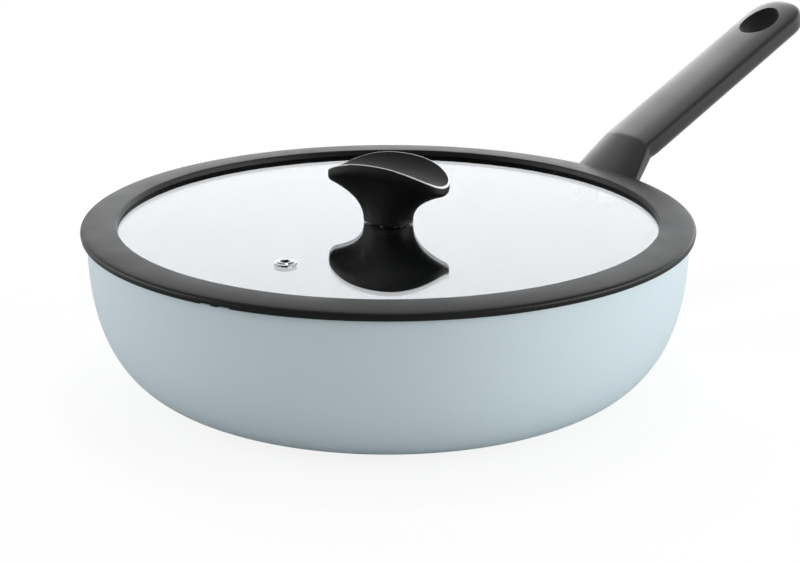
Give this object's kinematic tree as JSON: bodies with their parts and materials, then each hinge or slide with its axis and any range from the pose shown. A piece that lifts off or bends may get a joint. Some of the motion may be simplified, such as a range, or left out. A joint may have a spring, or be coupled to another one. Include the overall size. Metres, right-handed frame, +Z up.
{
  "type": "deep pan with lid",
  "caption": "Deep flat-based pan with a bent long handle and a flat glass lid in a soft rim, for frying and stewing on a hob.",
  "frame": {"origin": "centre of the base, on the surface that the pan stands on", "axes": "+Z up along the axis of the pan, +X along the handle"},
  "size_m": [0.4476, 0.2976, 0.1533],
  "materials": {
    "pan_lacquer": "pressed aluminium, pale blue satin lacquer outside, dark grey non-stick coating inside",
    "plate_steel": "spun stainless steel",
    "bracket_steel": "pressed stainless steel",
    "rivet_aluminium": "plain aluminium, satin",
    "handle_soft_touch": "moulded phenolic plastic with a soft-touch matt coat",
    "screw_steel": "zinc-plated steel",
    "lid_glass": "clear tempered glass, polished",
    "rim_silicone": "moulded black silicone, satin",
    "eyelet_steel": "polished stainless steel",
    "washer_silicone": "moulded black silicone",
    "knob_plastic": "moulded black phenolic plastic, satin",
    "insert_brass": "turned brass"
  },
  "bodies": {
    "pan": {"pan_body": "pan_lacquer", "induction_plate": "plate_steel", "handle_bracket": "bracket_steel", "handle_rivet_left": "rivet_aluminium", "handle_rivet_right": "rivet_aluminium", "handle_grip": "handle_soft_touch", "handle_screw": "screw_steel", "handle_screw_washer": "screw_steel"},
    "lid": {"lid_glass": "lid_glass", "lid_rim": "rim_silicone", "vent_eyelet": "eyelet_steel", "vent_washer": "washer_silicone", "lid_knob": "knob_plastic", "knob_insert": "insert_brass", "knob_screw": "screw_steel", "knob_screw_washer": "screw_steel", "knob_gasket": "washer_silicone", "glass_bush": "washer_silicone"}
  },
  "joints": [
    {"name": "lid_lift", "type": "slide", "parent": "pan", "child": "lid", "axis": [0, 0, 1], "range_m": [0, 0.15]}
  ]
}
